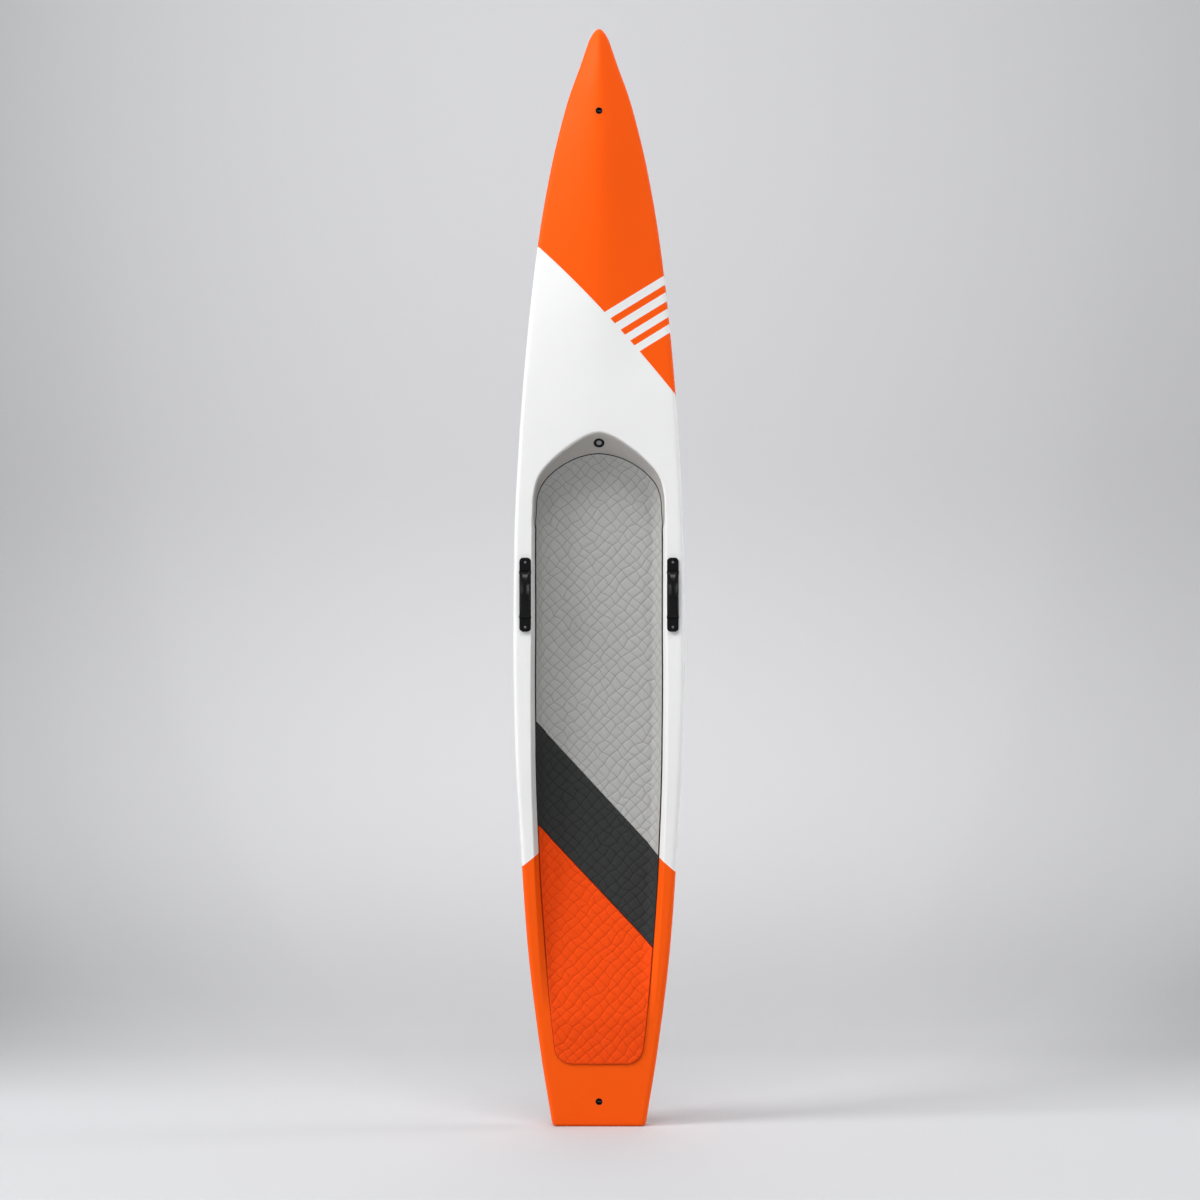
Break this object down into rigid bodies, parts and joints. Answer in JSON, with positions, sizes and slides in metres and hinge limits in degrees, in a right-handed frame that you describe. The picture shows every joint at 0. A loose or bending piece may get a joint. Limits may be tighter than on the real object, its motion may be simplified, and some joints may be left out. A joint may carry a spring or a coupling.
{
  "type": "hard stand-up paddleboard",
  "caption": "Hard race paddleboard with a sunken standing well, diagonal foam deck pads, rail handles, a screw vent, leash cups and a sliding fin.",
  "frame": {"origin": "middle of the flat tail end that the board stands on", "axes": "+Z along the board towards the nose, -Y out of the deck, +Y out of the hull, +X to the right of someone who looks at the deck"},
  "size_m": [0.6686, 0.4265, 4.267],
  "materials": {
    "white_laminate": "glossy white gel coat over fibre laminate, with orange nose and tail",
    "core_foam": "raw closed-cell foam",
    "dense_foam": "dense block foam",
    "stringer_wood": "raw light wood",
    "grey_pad": "embossed EVA foam",
    "charcoal_pad": "embossed EVA foam",
    "orange_pad": "embossed EVA foam",
    "plain_pad": "plain EVA foam",
    "black_plastic": "satin moulded plastic",
    "black_rubber": "smooth",
    "grey_metal": "brushed",
    "stainless_steel": "machined",
    "brass": "machined",
    "membrane_cloth": "woven membrane"
  },
  "bodies": {
    "board": {"deck_shell": "white_laminate", "standing_well": "white_laminate", "hull_shell": "white_laminate", "foam_core_left": "core_foam", "foam_core_right": "core_foam", "stringer": "stringer_wood", "cockpit_collar": "plain_pad", "deck_pad_grey": "grey_pad", "deck_pad_charcoal": "charcoal_pad", "deck_pad_orange": "orange_pad", "vent_housing": "black_plastic", "vent_membrane": "membrane_cloth", "bow_leash_cup": "black_plastic", "bow_leash_pin": "stainless_steel", "tail_leash_cup": "black_plastic", "tail_leash_pin": "stainless_steel", "fin_box": "black_plastic", "fin_box_block": "dense_foam", "handle_base_left": "black_plastic", "handle_grip_left": "black_plastic", "handle_block_left": "dense_foam", "handle_screw_left_upper": "stainless_steel", "handle_insert_left_upper": "brass", "handle_screw_left_lower": "stainless_steel", "handle_insert_left_lower": "brass", "handle_base_right": "black_plastic", "handle_grip_right": "black_plastic", "handle_block_right": "dense_foam", "handle_screw_right_upper": "stainless_steel", "handle_insert_right_upper": "brass", "handle_screw_right_lower": "stainless_steel", "handle_insert_right_lower": "brass"},
    "vent_seal": {"vent_oring": "black_rubber"},
    "vent_plug": {"vent_plug": "grey_metal"},
    "fin": {"fin": "black_plastic", "fin_pin": "stainless_steel", "fin_screw": "stainless_steel", "fin_nut_plate": "brass"}
  },
  "joints": [
    {"name": "vent_rise", "type": "slide", "parent": "board", "child": "vent_seal", "axis": [0, -0.8148, -0.5797], "range_m": [0, 0.0045]},
    {"name": "vent_turn", "type": "hinge", "parent": "vent_seal", "child": "vent_plug", "pos_m": [0, -0.09022, 2.651], "axis": [0, -0.8148, -0.5797], "range_deg": [0, 1080]},
    {"name": "fin_slide", "type": "slide", "parent": "board", "child": "fin", "axis": [0, 0, 1], "range_m": [-0.04, 0.014]}
  ],
  "couplings": [
    {"joint": "vent_turn", "follows": "vent_rise", "rad_per_m": 4188.8}
  ]
}
